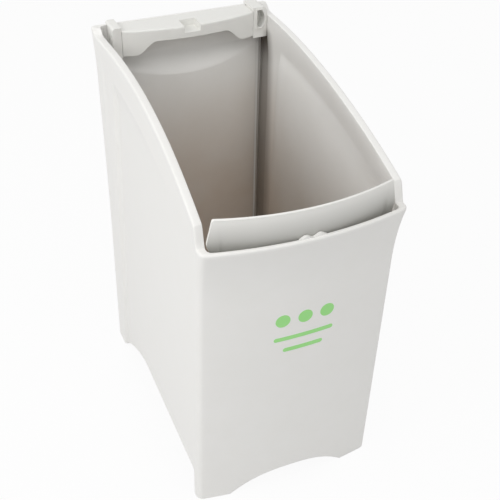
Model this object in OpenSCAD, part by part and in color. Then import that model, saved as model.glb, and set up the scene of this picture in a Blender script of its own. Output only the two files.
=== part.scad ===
// Slim recycling bin body: a tapered tub with swept side rims, a hinge rail and
// two hinge blocks for a lift-off lid, and a swinging flap that traps the sack.
// The front faces -Y, the bin stands on z = 0 and the origin is at its bottom centre.

/* [Overall] */
// Width across the rim's corners
width = 300; // [260:1:360]
// Depth from the front rim's corners to the back
depth = 474; // [420:1:560]
// Height of the side rims at the hinge
height = 610; // [540:1:680]
// How far the front rim lies below the side rims
front_drop = 114; // [95:1:140]
// How far above the front rim the sweep of the side rims ends
shoulder_rise = 31; // [25:1:37]
// Level stretch of the side rims in front of the back
level_len = 74; // [60:1:110]
// Rise of the rear wall above the side rims
rear_rise = 9; // [4:0.5:14]

/* [Tub] */
// Wall thickness
wall = 3.2; // [2.6:0.1:4]
// Radius of the upright corners
corner_r = 11.2; // [9:0.1:16]
// Forward bow of the front rim
rim_bow = 20; // [10:0.5:24]
// Forward bow of the front wall at the floor
foot_bow = 15; // [8:0.5:20]
// Waist of each side rim at mid length
rim_waist = 5.2; // [0:0.1:9]
// How far each side rim runs in from the front to the back
rim_taper = 1.7; // [0:0.1:4]
// Width of the side rim's top
side_rim_t = 12; // [9:0.5:13]
// Width of the front and rear rim's top
end_rim_t = 6; // [4.5:0.1:7]
// How far the front rim's lip stands forward of the flare below it
front_lip = 1.5; // [0:0.1:2]
// Height over which the walls flare to the rim
flare_h = 98; // [70:1:120]
// How far the front wall flares to its rim
front_flare = 12.2; // [6:0.1:16]
// How far the front wall leans in over the rest of its height
front_lean = 20; // [10:0.5:28]
// How far the rear wall flares to its rim
rear_flare = 10; // [6:0.5:14]
// How far the side walls stand in from the rim's corners at the front
front_in = 1.2; // [0:0.1:3]
// How far they stand in near the back, at the floor
strip_in_low = 5.2; // [4:0.1:6]
// How far they stand in there below the flare
strip_in_high = 8.2; // [6:0.1:10]
// Length of the hollow corner posts at the back, from front to back
post_len = 40; // [30:0.5:42]
// How far a corner post stands out from the side wall below the flare
post_out = 3.8; // [0:0.1:5]
// How far it stands out from the rear wall
post_back = 5; // [0:0.1:5.5]

/* [Panels] */
// Depth that the side panels are pressed in at their rear edge
panel_in = 6.5; // [3:0.5:8]
// Top of the side panels below the rim
panel_below_rim = 48; // [40:1:60]
// Distance of the rear panel from the width's end on each side
rear_panel_in = 16; // [16:0.5:40]
// Step at the rear panel's edges
rear_panel_step = 1.5; // [0:0.5:6]
// Further bow of the rear panel at its middle
rear_panel_bow = 17.5; // [6:0.5:18]

/* [Base] */
// Height of the tub's floor
floor_h = 67; // [64:0.5:80]
// Height of the arches between the side feet
side_arch_h = 55; // [40:1:58]
// Rise of the arch between the front feet
front_arch_h = 34.5; // [20:0.5:40]
// Width of each front foot
front_foot_w = 53; // [40:1:65]
// Length of the front feet along the side
front_foot_len = 48.5; // [46:0.5:54]
// Length of the rear feet along the side
rear_foot_len = 43; // [38:1:50]

/* [Hinge rail] */
// Thickness of the rail's top plate
rail_top_t = 4; // [3:0.5:6]
// Height of the rail's top below the rear rim
rail_drop = 0.5; // [0:0.1:3]
// Forward reach of the rail at its ends
rail_reach = 41; // [36:0.5:48]
// Further forward bow of the rail at its middle
rail_bow = 16; // [8:0.5:20]
// Height of the rail's front at its middle
rail_mid_h = 19; // [18:0.5:26]
// Height of the rail's front at its ends
rail_end_h = 40.5; // [36:0.5:46]
// Wall thickness of the rail
rail_wall = 3; // [2.5:0.1:4]
// Width of the finger notch
notch_w = 27; // [24:0.5:36]
// Height of the finger notch
notch_h = 11; // [8:0.5:12]
// Length of the finger notch from front to back
notch_len = 27; // [20:0.5:30]

/* [Hinge blocks] */
// Gap between the rail and each block
block_gap = 0.5; // [0.4:0.1:2]
// Gap between each block and the side rim where the rim is widest
block_side_gap = 3; // [2.8:0.1:5]
// Length of each block from side to side
block_w = 24.5; // [24:0.5:27]
// Reach of each block in front of the back
block_reach = 40.5; // [36:0.5:46]
// Rise of the blocks above the rear rim
block_rise = 5; // [3:0.5:8]
// Height of the blocks
block_h = 50.5; // [46:0.5:54]
// Thickness of the cheek beside the slot
cheek_t = 6.5; // [6:0.5:8]
// Width of the D-shaped slot
slot_w = 13.5; // [11:0.5:14]
// Height of the D-shaped slot
slot_h = 30; // [26:0.5:32]
// Radius of the lid's pivot bore
pivot_r = 4; // [3:0.1:5]

/* [Sack flap] */
// Distance of the flap's top corners from the side rims
flap_top_gap = 8.5; // [7:0.5:18]
// Gap between the flap's widest part and the side rims
flap_end_gap = 2.4; // [2:0.1:6]
// Height of the flap's top above the front rim
flap_rise = 42; // [34:0.5:48]
// Thickness of the flap
flap_t = 3; // [2.4:0.1:3.6]
// Gap between the flap's face and the stop nubs
stop_gap = 0.3; // [0.2:0.1:0.6]
// How far the stop nubs reach in from the front rim
nub_len = 3.2; // [2.6:0.1:4]
// Radius of the flap's pins
pin_r = 2.5; // [2:0.1:3]
// Radial running clearance of the pins in the flap
pin_clear = 0.05; // [0.03:0.01:0.1]
// Depth of the pins' axis below the front rim
hinge_drop = 28; // [26:0.5:32]
// Distance of the pins' axis behind the front rim's corners
hinge_y = 14; // [13:0.5:15]

/* [Screws] */
// Radius of the screws' shanks
screw_r = 2; // [1.5:0.1:2.2]
// Radius of the screws' heads
screw_head_r = 4; // [3:0.1:4.5]
// Height of the screws' heads
screw_head_h = 2.4; // [2:0.1:2.4]
// Length of the screws under the head
screw_len = 16; // [12:0.5:20]

/* [Hidden] */
$fn = 64;

plastic = [0.93, 0.93, 0.91];
steel = [0.72, 0.73, 0.75];

half = width / 2;
front_h = height - front_drop;
shoulder_h = front_h + shoulder_rise;
mid_y = (depth - rim_bow - front_lip) / 2;   // puts the origin at the bottom's centre
seat = 0.3;                      // clearance between pieces that seat on each other
lip_h = 8;                       // upright lip at the top of each flare
outer_edge_r = 3.5;              // rounding of the rim's outer edge
inner_edge_r = 1.2;              // rounding of its inner edge
floor_t = 3;
floor_r = 8;                     // fillet between the floor and the walls

// Rims
level_y = depth - level_len;
step_y = 11.5;                   // the front rim's level ends here
shoulder_y = 24;
rear_h = height + rear_rise;     // top of the rear wall
rear_corner_r = 6;               // outer radius of the corner posts
rear_fill_r = 11;                // inner radius of the rim over them
rear_inner_r = 1.5;               // inner radius below the flare
sweep_run = level_y - shoulder_y;
sweep_drop = height - shoulder_h;
sweep_r = (sweep_run * sweep_run + sweep_drop * sweep_drop) / (2 * sweep_drop);

// Panels
panel_top_blend = 14;            // height of the slope at the top of a side panel
panel_edge = 9;                  // length of the step at a side panel's rear edge
panel_edge_low = depth - 56;     // the rear edge's distance from the front at the floor
panel_edge_lean = 0.068;         // its lean towards the front per millimetre of height
panel_fade_y = 60;               // the panel runs out here towards the front
ramp_top = rear_h - 57;          // top of the ramp over the rear panel
ramp_slope = 1.75;
rear_panel_half = half - rear_panel_in;

// Corner posts and feet
post_y = depth - post_len;
post_step = 4;                   // run of the step from the side wall out to a post
post_lead = 10;                  // outside, that step starts this much earlier and is softer
post_back_step = 3;              // run of the step from the rear wall back to it
post_w = 6;                      // a post's width behind the rear wall
post_waist_z = 0.4 * (rear_h - flare_h);     // the posts stand closest together here
post_waist = 6.9;                // and this far in from the rim's corners
front_arch_w = width - 2 * front_foot_w;
rear_foot_y = depth - rear_foot_len;

// Hinge rail, blocks and screws
block_x = half - side_rim_t - block_side_gap - block_w;
rail_half = block_x - block_gap;
rail_top = rear_h - rail_drop;
rail_front = depth - rail_reach - rail_bow;
rail_r = (rail_half * rail_half + rail_bow * rail_bow) / (2 * rail_bow);
rail_edge_r = 3;
seat_y = depth - end_rim_t - seat;      // back of the rail's top plate
boss_y = depth - 8;                     // back of the screw bosses, lower on the flare
low_back_y = depth - 11;                // back of what lies lower still
screw_z = rear_h - 13;
rail_screw_x = rail_half - 50;
screw_boss_r = 5.5;
head_sink = screw_head_h + 1.3;
block_top = rear_h + block_rise;
block_front = depth - block_reach;
block_screw_x = block_x + screw_boss_r + 0.5;
slot_x = block_x + cheek_t;
slot_top = block_top - 4;
pivot_len = cheek_t - 1.5;              // depth of the pivot bore in the cheek
pivot_y = depth - 29;
pivot_z = slot_top - slot_h / 2;
slot_len = pivot_y + pivot_r + 1 - block_front;
slot_low = slot_top - slot_h;
bead_t = 1.5;                           // raised bead round the slot
open_cheek = 7.5;                       // the open block's cheek is this much thicker

// Flap
flap_half = half - side_rim_t - flap_top_gap;
flap_wide = half - side_rim_t - flap_end_gap;
flap_top = front_h + flap_rise;
rim_inner_y = end_rim_t - front_lip - rim_bow;   // front rim's inner edge at its middle
flap_y = rim_inner_y + nub_len + stop_gap;       // front face of the flap there
flap_bow = rim_bow + 2.4;
flap_r = (flap_half * flap_half + flap_bow * flap_bow) / (2 * flap_bow);
flap_low = front_h - 14;
bead_r = 2;
nub_x = 10.3;
nub_half = 9.5;
nub_rise = 3.6;
hinge_z = front_h - hinge_drop;
knuckle_r = 6;
knuckle_out = flap_half - 2.5;
knuckle_in = knuckle_out - 14;
boss_face = knuckle_out + 4;
pin_end = half - 7;
pin_start = knuckle_in + 2;

function lerp(a, b, t) = a + (b - a) * t;
function unit(t) = min(1, max(0, t));
function smooth(t) = let (u = unit(t)) u * u * (3 - 2 * u);

// ---- The tub's surfaces ----------------------------------------------------

// Height of the rim at a distance y behind the front corners
function sweep_z(y) = height - sweep_r + sqrt(sweep_r * sweep_r - (level_y - y) * (level_y - y));
function rim_z(y) =
    y > level_y ? lerp(height, rear_h, smooth((y - depth + 24) / 18)) :
    y > shoulder_y ? sweep_z(y) :
    lerp(front_h, shoulder_h, smooth((y - step_y) / (shoulder_y - step_y)));

// Share of a flare that is done at a depth s below the rim: none at the rim, all at flare_h
function flare(s) = let (t = unit((s - lip_h) / (flare_h - lip_h))) 1 - (1 - t) * (1 - t);

// Front face: setback behind the rim's corners and bow at a height z
function setback(z) = let (s = max(0, front_h - z)) front_lean * s / front_h + front_flare * flare(s);
function bow(z) = lerp(foot_bow, rim_bow, unit(z / front_h));
function lip(z) = front_lip * (1 - smooth((front_h - z) / (1.5 * lip_h)));
function front_y(x, z) = setback(z) - lip(z) - bow(z) * (1 - x * x / (half * half));

// Side face: half width at (y, z), s below the rim, without and with the pressed-in panel
function panel_y(z) = panel_edge_low - panel_edge_lean * z;
function strip_half(z) = half - lerp(strip_in_low, strip_in_high, z / (rear_h - flare_h));
function post_half(z) =
    let (t = min(1, (z - post_waist_z) / (rear_h - flare_h - post_waist_z)),
         gain = post_out + post_waist - strip_in_high)
    max(strip_half(z), half - post_waist + gain * t * t);
function rim_half(y) =
    let (t = unit((y - corner_r) / (depth - 2 * corner_r)))
    half - rim_taper * t - rim_waist * sin(180 * t);
function panel_share(y, z) =
    y < panel_y(z) ? unit((y - panel_fade_y) / (panel_y(z) - panel_fade_y)) :
    1 - smooth((y - panel_y(z)) / panel_edge);
function panel_depth(y, z, s) =
    panel_in * panel_share(y, z) * smooth((s - panel_below_rim) / panel_top_blend);
function wall_half(y, z, lead) =
    lerp(lerp(half - front_in, strip_half(z), unit(y / depth)), post_half(z),
         smooth((y - post_y + lead) / (post_step + lead)));
function side_x(y, z, s, lead = 0) =
    lerp(rim_half(y), wall_half(y, z, lead), flare(s)) - panel_depth(y, z, s);

// Rear face: the plane between the posts, and the panel in it with its ramp
function panel_bulge(x) = abs(x) >= rear_panel_half ? 0 :
    let (t = abs(x) / (rear_panel_half - 3))
    abs(x) > rear_panel_half - 3 ? rear_panel_step * (rear_panel_half - abs(x)) / 3 :
    rear_panel_step + rear_panel_bow * (1 - t * t);
function rear_y(x, z, s) = depth - rear_flare * flare(s) -
    min(panel_bulge(x), max(0, (ramp_top - z) / ramp_slope));
function post_back_y(s) = depth - (rear_flare - post_back) * flare(s);

// Wall thickness at a depth s below the rim
function side_t(s) = lerp(side_rim_t, wall, smooth(s / (0.8 * flare_h)));
function end_t(s) = lerp(end_rim_t, wall, unit(s / 40));

// ---- The tub as a loft -------------------------------------------------------
// Half of a ring is a row of columns from the middle of the front round to the
// middle of the back. A column is [face, place on that face].

front_places = [0, 0.25, 0.5, 0.75, 0.9, 1];     // over the front arch
shoulder_places = [3, 6.5, 8, 11, 15, 20, 28];   // behind the front corner's arc
side_steps = 11;
corner_steps = 5;
post_places = [0.35, 0.6, 1];                    // across the step behind the side panel
strip_places = [0.5, 1];                         // from there to the corner post
rear_places = [0, 0.3, 0.55, 0.75, 0.9, 1];      // across the rear panel, from its middle

columns = concat(
    [for (t = front_places) ["arch", t]],
    [["foot", 0.5]],
    [for (i = [0 : corner_steps]) ["front corner", i / corner_steps]],
    [for (d = shoulder_places) ["shoulder", d]],
    [for (i = [1 : side_steps]) ["side", i / side_steps]],
    [for (t = post_places) ["post", t]],
    [for (t = strip_places) ["strip", t]],
    [["post side", 0]],
    [for (i = [0 : corner_steps]) ["rear corner", i / corner_steps]],
    [["post back", 1], ["post back", 0], ["rear edge", 0]],
    [for (i = [len(rear_places) - 1 : -1 : 0]) ["rear", rear_places[i]]]
);
column_count = len(columns);

// Place of a column at height z, s below its rim, on the outer face or inset by
// [side, front, rear] wall thicknesses, with the front and rear corner radii r and q
function ring_point(column, z, s, inset, r, q) =
    let (face = column[0], t = column[1],
         lean = atan(2 * bow(z) / half),
         front_half = side_x(setback(z) + r, z, s) - inset[0],
         tangent_x = front_half - r * (1 - sin(lean)),
         corner_y = front_y(tangent_x, z) + inset[1] + r * cos(lean),
         back = post_back_y(s) - inset[2],
         post_x = side_x(depth, z, s),
         back_half = post_x - inset[0],
         rear_end = back_half - q)
    face == "arch" ? let (x = t * front_arch_w / 2) [x, front_y(x, z) + inset[1]] :
    face == "foot" ? let (x = lerp(front_arch_w / 2, tangent_x, t)) [x, front_y(x, z) + inset[1]] :
    face == "front corner" ? let (a = lerp(lean - 90, 0, t))
        [front_half - r + r * cos(a), corner_y + r * sin(a)] :
    face == "shoulder" ? side_point(corner_y + t, z, s, inset) :
    face == "side" ? side_point(lerp(corner_y + last(shoulder_places), panel_y(z), t), z, s, inset) :
    face == "post" ? side_point(panel_y(z) + t * panel_edge, z, s, inset) :
    face == "strip" ? side_point(lerp(panel_y(z) + panel_edge, post_y, t), z, s, inset) :
    face == "post side" ? side_point(post_y + post_step, z, s, inset) :
    face == "rear corner" ? [back_half - q + q * cos(90 * t), back - q + q * sin(90 * t)] :
    face == "post back" ? [min(post_x - post_w - (1 - t) * post_back_step, rear_end - 0.6 + 0.3 * t),
                           lerp(rear_y(half, z, s) - inset[2], back, t)] :
    face == "rear edge" ? [min(rear_panel_half, rear_end - 0.9), rear_y(half, z, s) - inset[2]] :
    let (x = t * min(rear_panel_half - 3, rear_end - 1.2)) [x, rear_y(x, z, s) - inset[2]];
function side_point(y, z, s, inset) = [side_x(y, z, s, inset[0] > 0 ? 0 : post_lead) - inset[0], y];
function last(list) = list[len(list) - 1];

// Height of each column's rim, of the edge between the feet, and of its panel's top
no_inset = [0, 0, 0];
function column_rim(column) =
    let (face = column[0])
    face == "arch" || face == "foot" ? front_h :
    face == "rear" || face == "rear edge" || face == "post back" ? rear_h :
    rim_z(ring_point(column, face == "front corner" ? front_h : height, 0, no_inset, corner_r, rear_corner_r)[1]);
function side_arch_z(y) =
    let (rise = unit((y - front_foot_len) / 8),
         fall = unit((rear_foot_y - y) / 131))
    y < front_foot_len ? 0 :
    min(side_arch_h - 8 + 8 * sqrt(1 - (1 - rise) * (1 - rise)),
        side_arch_h * (1 - pow(1 - fall, 1.6)));
function column_foot(column) =
    let (face = column[0], point = ring_point(column, 0, flare_h, no_inset, corner_r, rear_corner_r))
    face == "arch" ? front_arch_h * (1 - pow(column[1], 2.5)) :
    face == "shoulder" || face == "side" || face == "post" ? side_arch_z(point[1]) : 0;
function column_panel(column, rim) =
    column[0] == "rear" || column[0] == "rear edge"
    ? let (x = column[0] == "rear" ? column[1] * (rear_panel_half - 3) : rear_panel_half)
      [ramp_top - ramp_slope * max(panel_bulge(x), rear_panel_step), ramp_top]
    : [rim - panel_below_rim - panel_top_blend, rim - panel_below_rim];

rims = [for (c = columns) column_rim(c)];
feet = [for (c = columns) column_foot(c)];
panels = [for (i = [0 : column_count - 1]) column_panel(columns[i], rims[i])];

// A ring: the height of each half column by a rule, its insets, and both halves joined
function inner(s) = [side_t(s), end_t(s), end_t(s)];
function ring(z_of, inset_of, r, q_of) =
    let (right = [for (i = [0 : column_count - 1])
             let (z = z_of(i), s = rims[i] - z, p = ring_point(columns[i], z, s, inset_of(s), r, q_of(s)))
             [p[0], p[1], z]])
    concat(right, [for (i = [column_count - 2 : -1 : 1]) [-right[i][0], right[i][1], right[i][2]]]);

outer = function(s) no_inset;
inside = function(s) inner(s);
skirt_in = function(s) [wall, wall, wall];
rounded = function(k) function(s) [k, k, k];
rim_inset = function(k) function(s) [side_rim_t - k, end_rim_t - k, end_rim_t - k];
fillet = function(k) function(s) inner(s) + [k, k, k];
inner_r = max(corner_r - wall, 5);
post_r = function(k) function(s) rear_corner_r - k;
post_inner_r = function(k) function(s) k + lerp(rear_fill_r, rear_inner_r, smooth(s / (0.6 * flare_h)));
below_rim = function(s) function(i) rims[i] - s;
above_floor = function(h) function(i) floor_h + h;
underside_z = floor_h - floor_t;
skirt_z = side_arch_h + 4;
flare_end = function(t) function(i) lerp(skirt_z, rims[i] - flare_h, t);
panel_low = function(t) function(i) lerp(rims[i] - flare_h, panels[i][0], t);
panel_high = function(t) function(i) lerp(panels[i][0], panels[i][1], t);
to_lip = function(t) function(i) lerp(panels[i][1], rims[i] - lip_h, t);

rings = concat(
    [ring(function(i) underside_z, skirt_in, inner_r, post_inner_r(0))],
    [ring(function(i) feet[i], skirt_in, inner_r, post_inner_r(0))],
    [ring(function(i) feet[i], outer, corner_r, post_r(0))],
    [for (t = [0, 0.5, 1]) ring(flare_end(t), outer, corner_r, post_r(0))],
    [ring(panel_low(0.6), outer, corner_r, post_r(0))],
    [for (t = [0, 0.5, 1]) ring(panel_high(t), outer, corner_r, post_r(0))],
    [for (t = [0.35, 0.7, 1]) ring(to_lip(t), outer, corner_r, post_r(0))],
    [for (a = [0, 30, 60, 90]) let (k = outer_edge_r * (1 - cos(a)))
        ring(below_rim(outer_edge_r * (1 - sin(a))), rounded(k), corner_r - k, post_r(k))],
    [for (a = [90, 45, 0]) let (k = inner_edge_r * (1 - cos(a)))
        ring(below_rim(inner_edge_r * (1 - sin(a))), rim_inset(k), inner_r + k, post_inner_r(k))],
    [for (t = [1, 0.5, 0]) ring(to_lip(t), inside, inner_r, post_inner_r(0))],
    [for (t = [0.5, 0]) ring(panel_high(t), inside, inner_r, post_inner_r(0))],
    [for (t = [1, 0.5]) ring(flare_end(t), inside, inner_r, post_inner_r(0))],
    [ring(above_floor(floor_r), inside, inner_r, post_inner_r(0))],
    [ring(above_floor(0.3 * floor_r), fillet(0.3 * floor_r), inner_r + 2, post_inner_r(1.5))],
    [ring(above_floor(0), fillet(floor_r), inner_r + 4, post_inner_r(3))]
);

module loft(rings) {
    n = len(rings[0]);
    top = len(rings) - 1;
    points = [for (row = rings) each row];
    skin = [for (k = [0 : top - 1]) for (i = [0 : n - 1])
        let (a = k * n + i, b = k * n + (i + 1) % n, c = b + n, d = a + n)
        each [[a, d, c], [a, c, b]]];
    first_cap = [for (i = [0 : n - 1]) i];
    last_cap = [for (i = [n - 1 : -1 : 0]) top * n + i];
    polyhedron(points, concat(skin, [first_cap, last_cap]), convexity = 10);
}

// ---- Shared shapes -------------------------------------------------------------

module at_centre() {
    translate([0, -mid_y, 0]) children();
}

// A cylinder from y = a to y = b
module along_y(a, b, x, z, r) {
    translate([x, a, z]) rotate([-90, 0, 0]) cylinder(h = b - a, r = r);
}

// A cylinder from x = a to x = b
module along_x(a, b, y, z, r) {
    translate([a, y, z]) rotate([0, 90, 0]) cylinder(h = b - a, r = r);
}

module both_sides() {
    children();
    mirror([1, 0, 0]) children();
}

module screw(x) {
    along_y(depth - head_sink - screw_len, depth - head_sink, x, screw_z, screw_r);
    along_y(depth - head_sink, depth - head_sink + screw_head_h, x, screw_z, screw_head_r);
}

module screw_way(x) {
    along_y(depth - 2 * end_rim_t, depth + 1, x, screw_z, screw_r + 0.25);
    along_y(depth - head_sink, depth + 1, x, screw_z, screw_head_r + 0.3);
}

// ---- Pieces ----------------------------------------------------------------------

// Two smooth humps side by side on the front rim's inner edge
function hump(x) =
    let (d = min(1, abs(abs(x) - nub_x) / nub_half)) pow(0.5 + 0.5 * cos(180 * d), 0.7);
module stop_nubs() {
    end = nub_x + nub_half;
    steps = 32;
    xs = [for (i = [0 : steps]) lerp(-end, end, i / steps)];
    slice(rim_inner_y - 2, rim_inner_y + nub_len)
        polygon(concat([for (x = xs) [x, front_h - 0.8 + (nub_rise + 0.8) * hump(x)]],
                       [for (x = xs) [-x, front_h - 2.4 - 2 * hump(x)]]));
}

module bin_body() {
    color(plastic) at_centre() difference() {
        union() {
            loft(rings);
            stop_nubs();
            both_sides() along_x(boss_face, pin_end + 1, hinge_y, hinge_z, knuckle_r);
        }
        both_sides() {
            along_x(boss_face - 1, pin_end, hinge_y, hinge_z, pin_r);
            screw_way(rail_screw_x);
            screw_way(block_screw_x);
        }
    }
}

// Rail section: a top plate and a front apron with a rounded edge, r out and z up
module rail_section(end_h) {
    back_r = rail_r - rail_reach - rail_bow - 20;
    difference() {
        union() {
            translate([back_r, rail_top - end_h]) square([rail_r - rail_edge_r - back_r, end_h]);
            translate([back_r, rail_top - end_h]) square([rail_r - back_r, end_h - rail_edge_r]);
            translate([rail_r - rail_edge_r, rail_top - rail_edge_r]) circle(rail_edge_r);
        }
        translate([back_r - 1, rail_top - end_h - 1])
            square([rail_r - rail_wall - back_r + 1, end_h - rail_top_t + 1]);
    }
}

// Lower edge of the rail seen from the front
function rail_edge_z(x) =
    rail_top - lerp(rail_mid_h, rail_end_h, smooth((abs(x) - rail_half + 52) / 32));

module hinge_rail() {
    turn = asin(rail_half / rail_r);
    steps = 40;
    notch_back = rail_front + notch_len;
    color(plastic) at_centre() difference() {
        union() {
            intersection() {
                union() {
                    translate([0, rail_front + rail_r, 0]) rotate([0, 0, -90 - turn - 2])
                        rotate_extrude(angle = 2 * turn + 4, $fn = 240) rail_section(rail_end_h);
                    both_sides() translate([rail_half - rail_wall, rail_front, rail_top - rail_end_h])
                        cube([rail_wall, low_back_y - rail_front, rail_end_h - 1]);
                }
                translate([0, rail_front + rail_r, 0]) cylinder(h = rail_top, r = rail_r, $fn = 240);
                translate([-rail_half, 0, 0]) cube([2 * rail_half, seat_y, rail_top]);
            }
            translate([-notch_w / 2 - rail_wall, rail_front + 2, rail_top - notch_h - rail_wall])
                cube([notch_w + 2 * rail_wall, notch_len - 2 + rail_wall, notch_h]);
            both_sides() {
                along_y(notch_back, boss_y, rail_screw_x, screw_z, screw_boss_r);
                translate([rail_screw_x - rail_wall / 2, notch_back, screw_z])
                    cube([rail_wall, boss_y - notch_back, rail_top - rail_top_t - screw_z + 1]);
            }
        }
        translate([-notch_w / 2, rail_front - 1, rail_top - notch_h])
            cube([notch_w, notch_len + 1, notch_h + 1]);
        both_sides() along_y(depth - head_sink - screw_len - 2, depth, rail_screw_x, screw_z, screw_r);
        translate([0, rail_front + rail_reach, 0]) rotate([90, 0, 0]) linear_extrude(2 * rail_reach)
            polygon(concat([for (i = [0 : steps]) let (x = lerp(-rail_half - 1, rail_half + 1, i / steps))
                                [x, rail_edge_z(x)]],
                           [[rail_half + 1, rail_top - rail_end_h - 9],
                            [-rail_half - 1, rail_top - rail_end_h - 9]]));
    }
}

// The D of the slot seen from the front, grown by g: straight towards the rail, curved outwards
module slot_outline(g) {
    curve_r = slot_h * 0.75;
    intersection() {
        translate([slot_x - g, pivot_z - slot_h / 2 - g]) square([slot_w + 2 * g, slot_h + 2 * g]);
        translate([slot_x + slot_w - curve_r, pivot_z]) circle(curve_r + g);
    }
}

// The block's outline seen from the front, with a rounded outer top
module block_outline(closed) {
    low = block_top - block_h;
    top_w = closed ? block_w : cheek_t + open_cheek;
    top_r = closed ? 9 : 5;
    translate([block_x, low]) square([block_w, closed ? block_h - top_r : slot_low - low]);
    translate([block_x, low]) square([top_w, block_h - top_r]);
    translate([block_x, low]) square([top_w - top_r, block_h]);
    translate([block_x + top_w - top_r, block_top - top_r]) circle(top_r);
}

// The block's plan below the rear rim, with its rear outer corner rounded to suit the tub's
module block_plan() {
    back_r = 10;
    translate([block_x, block_front]) square([block_w, low_back_y - back_r - block_front]);
    translate([block_x, block_front]) square([block_w - back_r, low_back_y - block_front]);
    translate([block_x + block_w - back_r, low_back_y - back_r]) circle(back_r);
}

// An upright slice of a front outline from y = a to y = b
module slice(a, b) {
    translate([0, b, 0]) rotate([90, 0, 0]) linear_extrude(b - a) children();
}

// A hinge block: closed round its slot, or with only the cheek standing
module hinge_block(closed) {
    color(plastic) at_centre() difference() {
        union() {
            intersection() {
                slice(block_front, low_back_y) block_outline(closed);
                translate([0, 0, block_top - block_h]) linear_extrude(block_h) block_plan();
            }
            intersection() {
                slice(block_front, depth) block_outline(closed);
                translate([0, low_back_y - 1, rear_h + seat]) cube([width, depth, block_rise]);
            }
            along_y(low_back_y - 1, boss_y, block_screw_x, screw_z, screw_boss_r);
            if (closed) slice(block_front - bead_t, block_front) slot_outline(bead_t);
        }
        if (closed) slice(block_front - bead_t - 1, block_front + slot_len) slot_outline(0);
        along_x(slot_x - pivot_len, slot_x + (closed ? slot_w / 2 : open_cheek + 1), pivot_y, pivot_z, pivot_r);
        along_y(depth - head_sink - screw_len - 2, depth, block_screw_x, screw_z, screw_r);
    }
}

module hinge_block_left() {
    mirror([1, 0, 0]) hinge_block(false);
}

module hinge_block_right() {
    hinge_block(true);
}

// The flap's outline seen from the front: rounded corners, ends that are widest low
// down, and an ear over each knuckle
module flap_outline() {
    top_r = 6;
    end_r = 14;
    low_r = 5;
    hull() both_sides() {
        translate([flap_half - top_r, flap_top - top_r]) circle(top_r);
        translate([flap_wide - end_r, flap_low + 18]) circle(end_r);
        translate([flap_wide - 3.5 - low_r, flap_low + low_r]) circle(low_r);
    }
    both_sides() translate([knuckle_in, hinge_z])
        square([knuckle_out - knuckle_in, flap_low + 1 - hinge_z]);
}

module sack_flap() {
    centre_y = flap_y + flap_r;
    color(plastic) at_centre() difference() {
        union() {
            intersection() {
                translate([0, centre_y, 0]) union() {
                    difference() {
                        cylinder(h = flap_top - bead_r, r = flap_r, $fn = 360);
                        translate([0, 0, -1]) cylinder(h = flap_top + 2, r = flap_r - flap_t, $fn = 360);
                    }
                    rotate_extrude($fn = 360) translate([flap_r - flap_t / 2, flap_top - bead_r]) circle(bead_r);
                }
                translate([0, depth / 2, 0]) rotate([90, 0, 0]) linear_extrude(depth) flap_outline();
                translate([-width, flap_y - 5, 0]) cube([2 * width, 60, height]);
            }
            both_sides() along_x(knuckle_in, knuckle_out, hinge_y, hinge_z, knuckle_r);
        }
        both_sides() along_x(knuckle_in - 1, knuckle_out + 1, hinge_y, hinge_z, pin_r + pin_clear);
    }
}

module flap_pin() {
    color(steel) at_centre() along_x(pin_start, pin_end, hinge_y, hinge_z, pin_r);
}

module flap_pin_left() {
    mirror([1, 0, 0]) flap_pin();
}

module flap_pin_right() {
    flap_pin();
}

module rail_screws() {
    color(steel) at_centre() both_sides() screw(rail_screw_x);
}

module block_screws() {
    color(steel) at_centre() both_sides() screw(block_screw_x);
}

bin_body();
hinge_rail();
hinge_block_left();
hinge_block_right();
rail_screws();
block_screws();
sack_flap();
flap_pin_left();
flap_pin_right();
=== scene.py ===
"""A slim recycling bin: a moulded tub with swept side rims, a hinge rail and two hinge
blocks for a lift-off lid, and a swinging flap that traps the sack.

Lengths are in metres. Heights are above the floor. The tub's own depths are measured
from the front rim's corners and are moved by at_centre() to the frame's origin.
"""

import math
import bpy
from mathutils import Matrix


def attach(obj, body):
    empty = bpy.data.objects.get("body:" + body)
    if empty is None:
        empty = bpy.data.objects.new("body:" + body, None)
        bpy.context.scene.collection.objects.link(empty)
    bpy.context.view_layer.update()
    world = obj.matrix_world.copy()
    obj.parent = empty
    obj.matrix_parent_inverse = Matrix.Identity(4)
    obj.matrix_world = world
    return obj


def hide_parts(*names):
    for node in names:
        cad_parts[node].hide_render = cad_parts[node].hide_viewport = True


bl_info = {
    "name": "Slim Recycling Bin",
    "version": (1, 0, 0),
    "blender": (4, 5, 0),
    "location": "View3D > Sidebar > Bin",
    "description": "Builds a slim recycling bin piece by piece, with its finishes and a studio",
    "category": "Add Mesh",
}

import bmesh
import bpy
from mathutils import Matrix, Vector

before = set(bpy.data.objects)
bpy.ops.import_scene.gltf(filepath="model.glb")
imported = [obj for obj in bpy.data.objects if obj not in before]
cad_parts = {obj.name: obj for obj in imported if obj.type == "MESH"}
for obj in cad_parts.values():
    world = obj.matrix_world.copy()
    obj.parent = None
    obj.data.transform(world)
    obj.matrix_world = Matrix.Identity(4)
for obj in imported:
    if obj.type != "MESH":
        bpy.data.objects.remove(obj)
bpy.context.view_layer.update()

BIN = "bin"
FLAP = "flap"
PLASTIC_SLOT = "white_plastic"
STEEL_SLOT = "zinc_steel"


# ---- Settings ----


def size(name, description, default, low=0.0, high=1.0):
    """A length that the user may change, in metres."""
    return bpy.props.FloatProperty(
        name=name,
        description=description,
        default=default,
        min=low,
        max=high,
        subtype="DISTANCE",
        unit="LENGTH",
        precision=4,
    )


def share(name, description, default, high=1.0):
    """A plain number from 0 up."""
    return bpy.props.FloatProperty(
        name=name, description=description, default=default, min=0.0, max=high
    )


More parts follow.
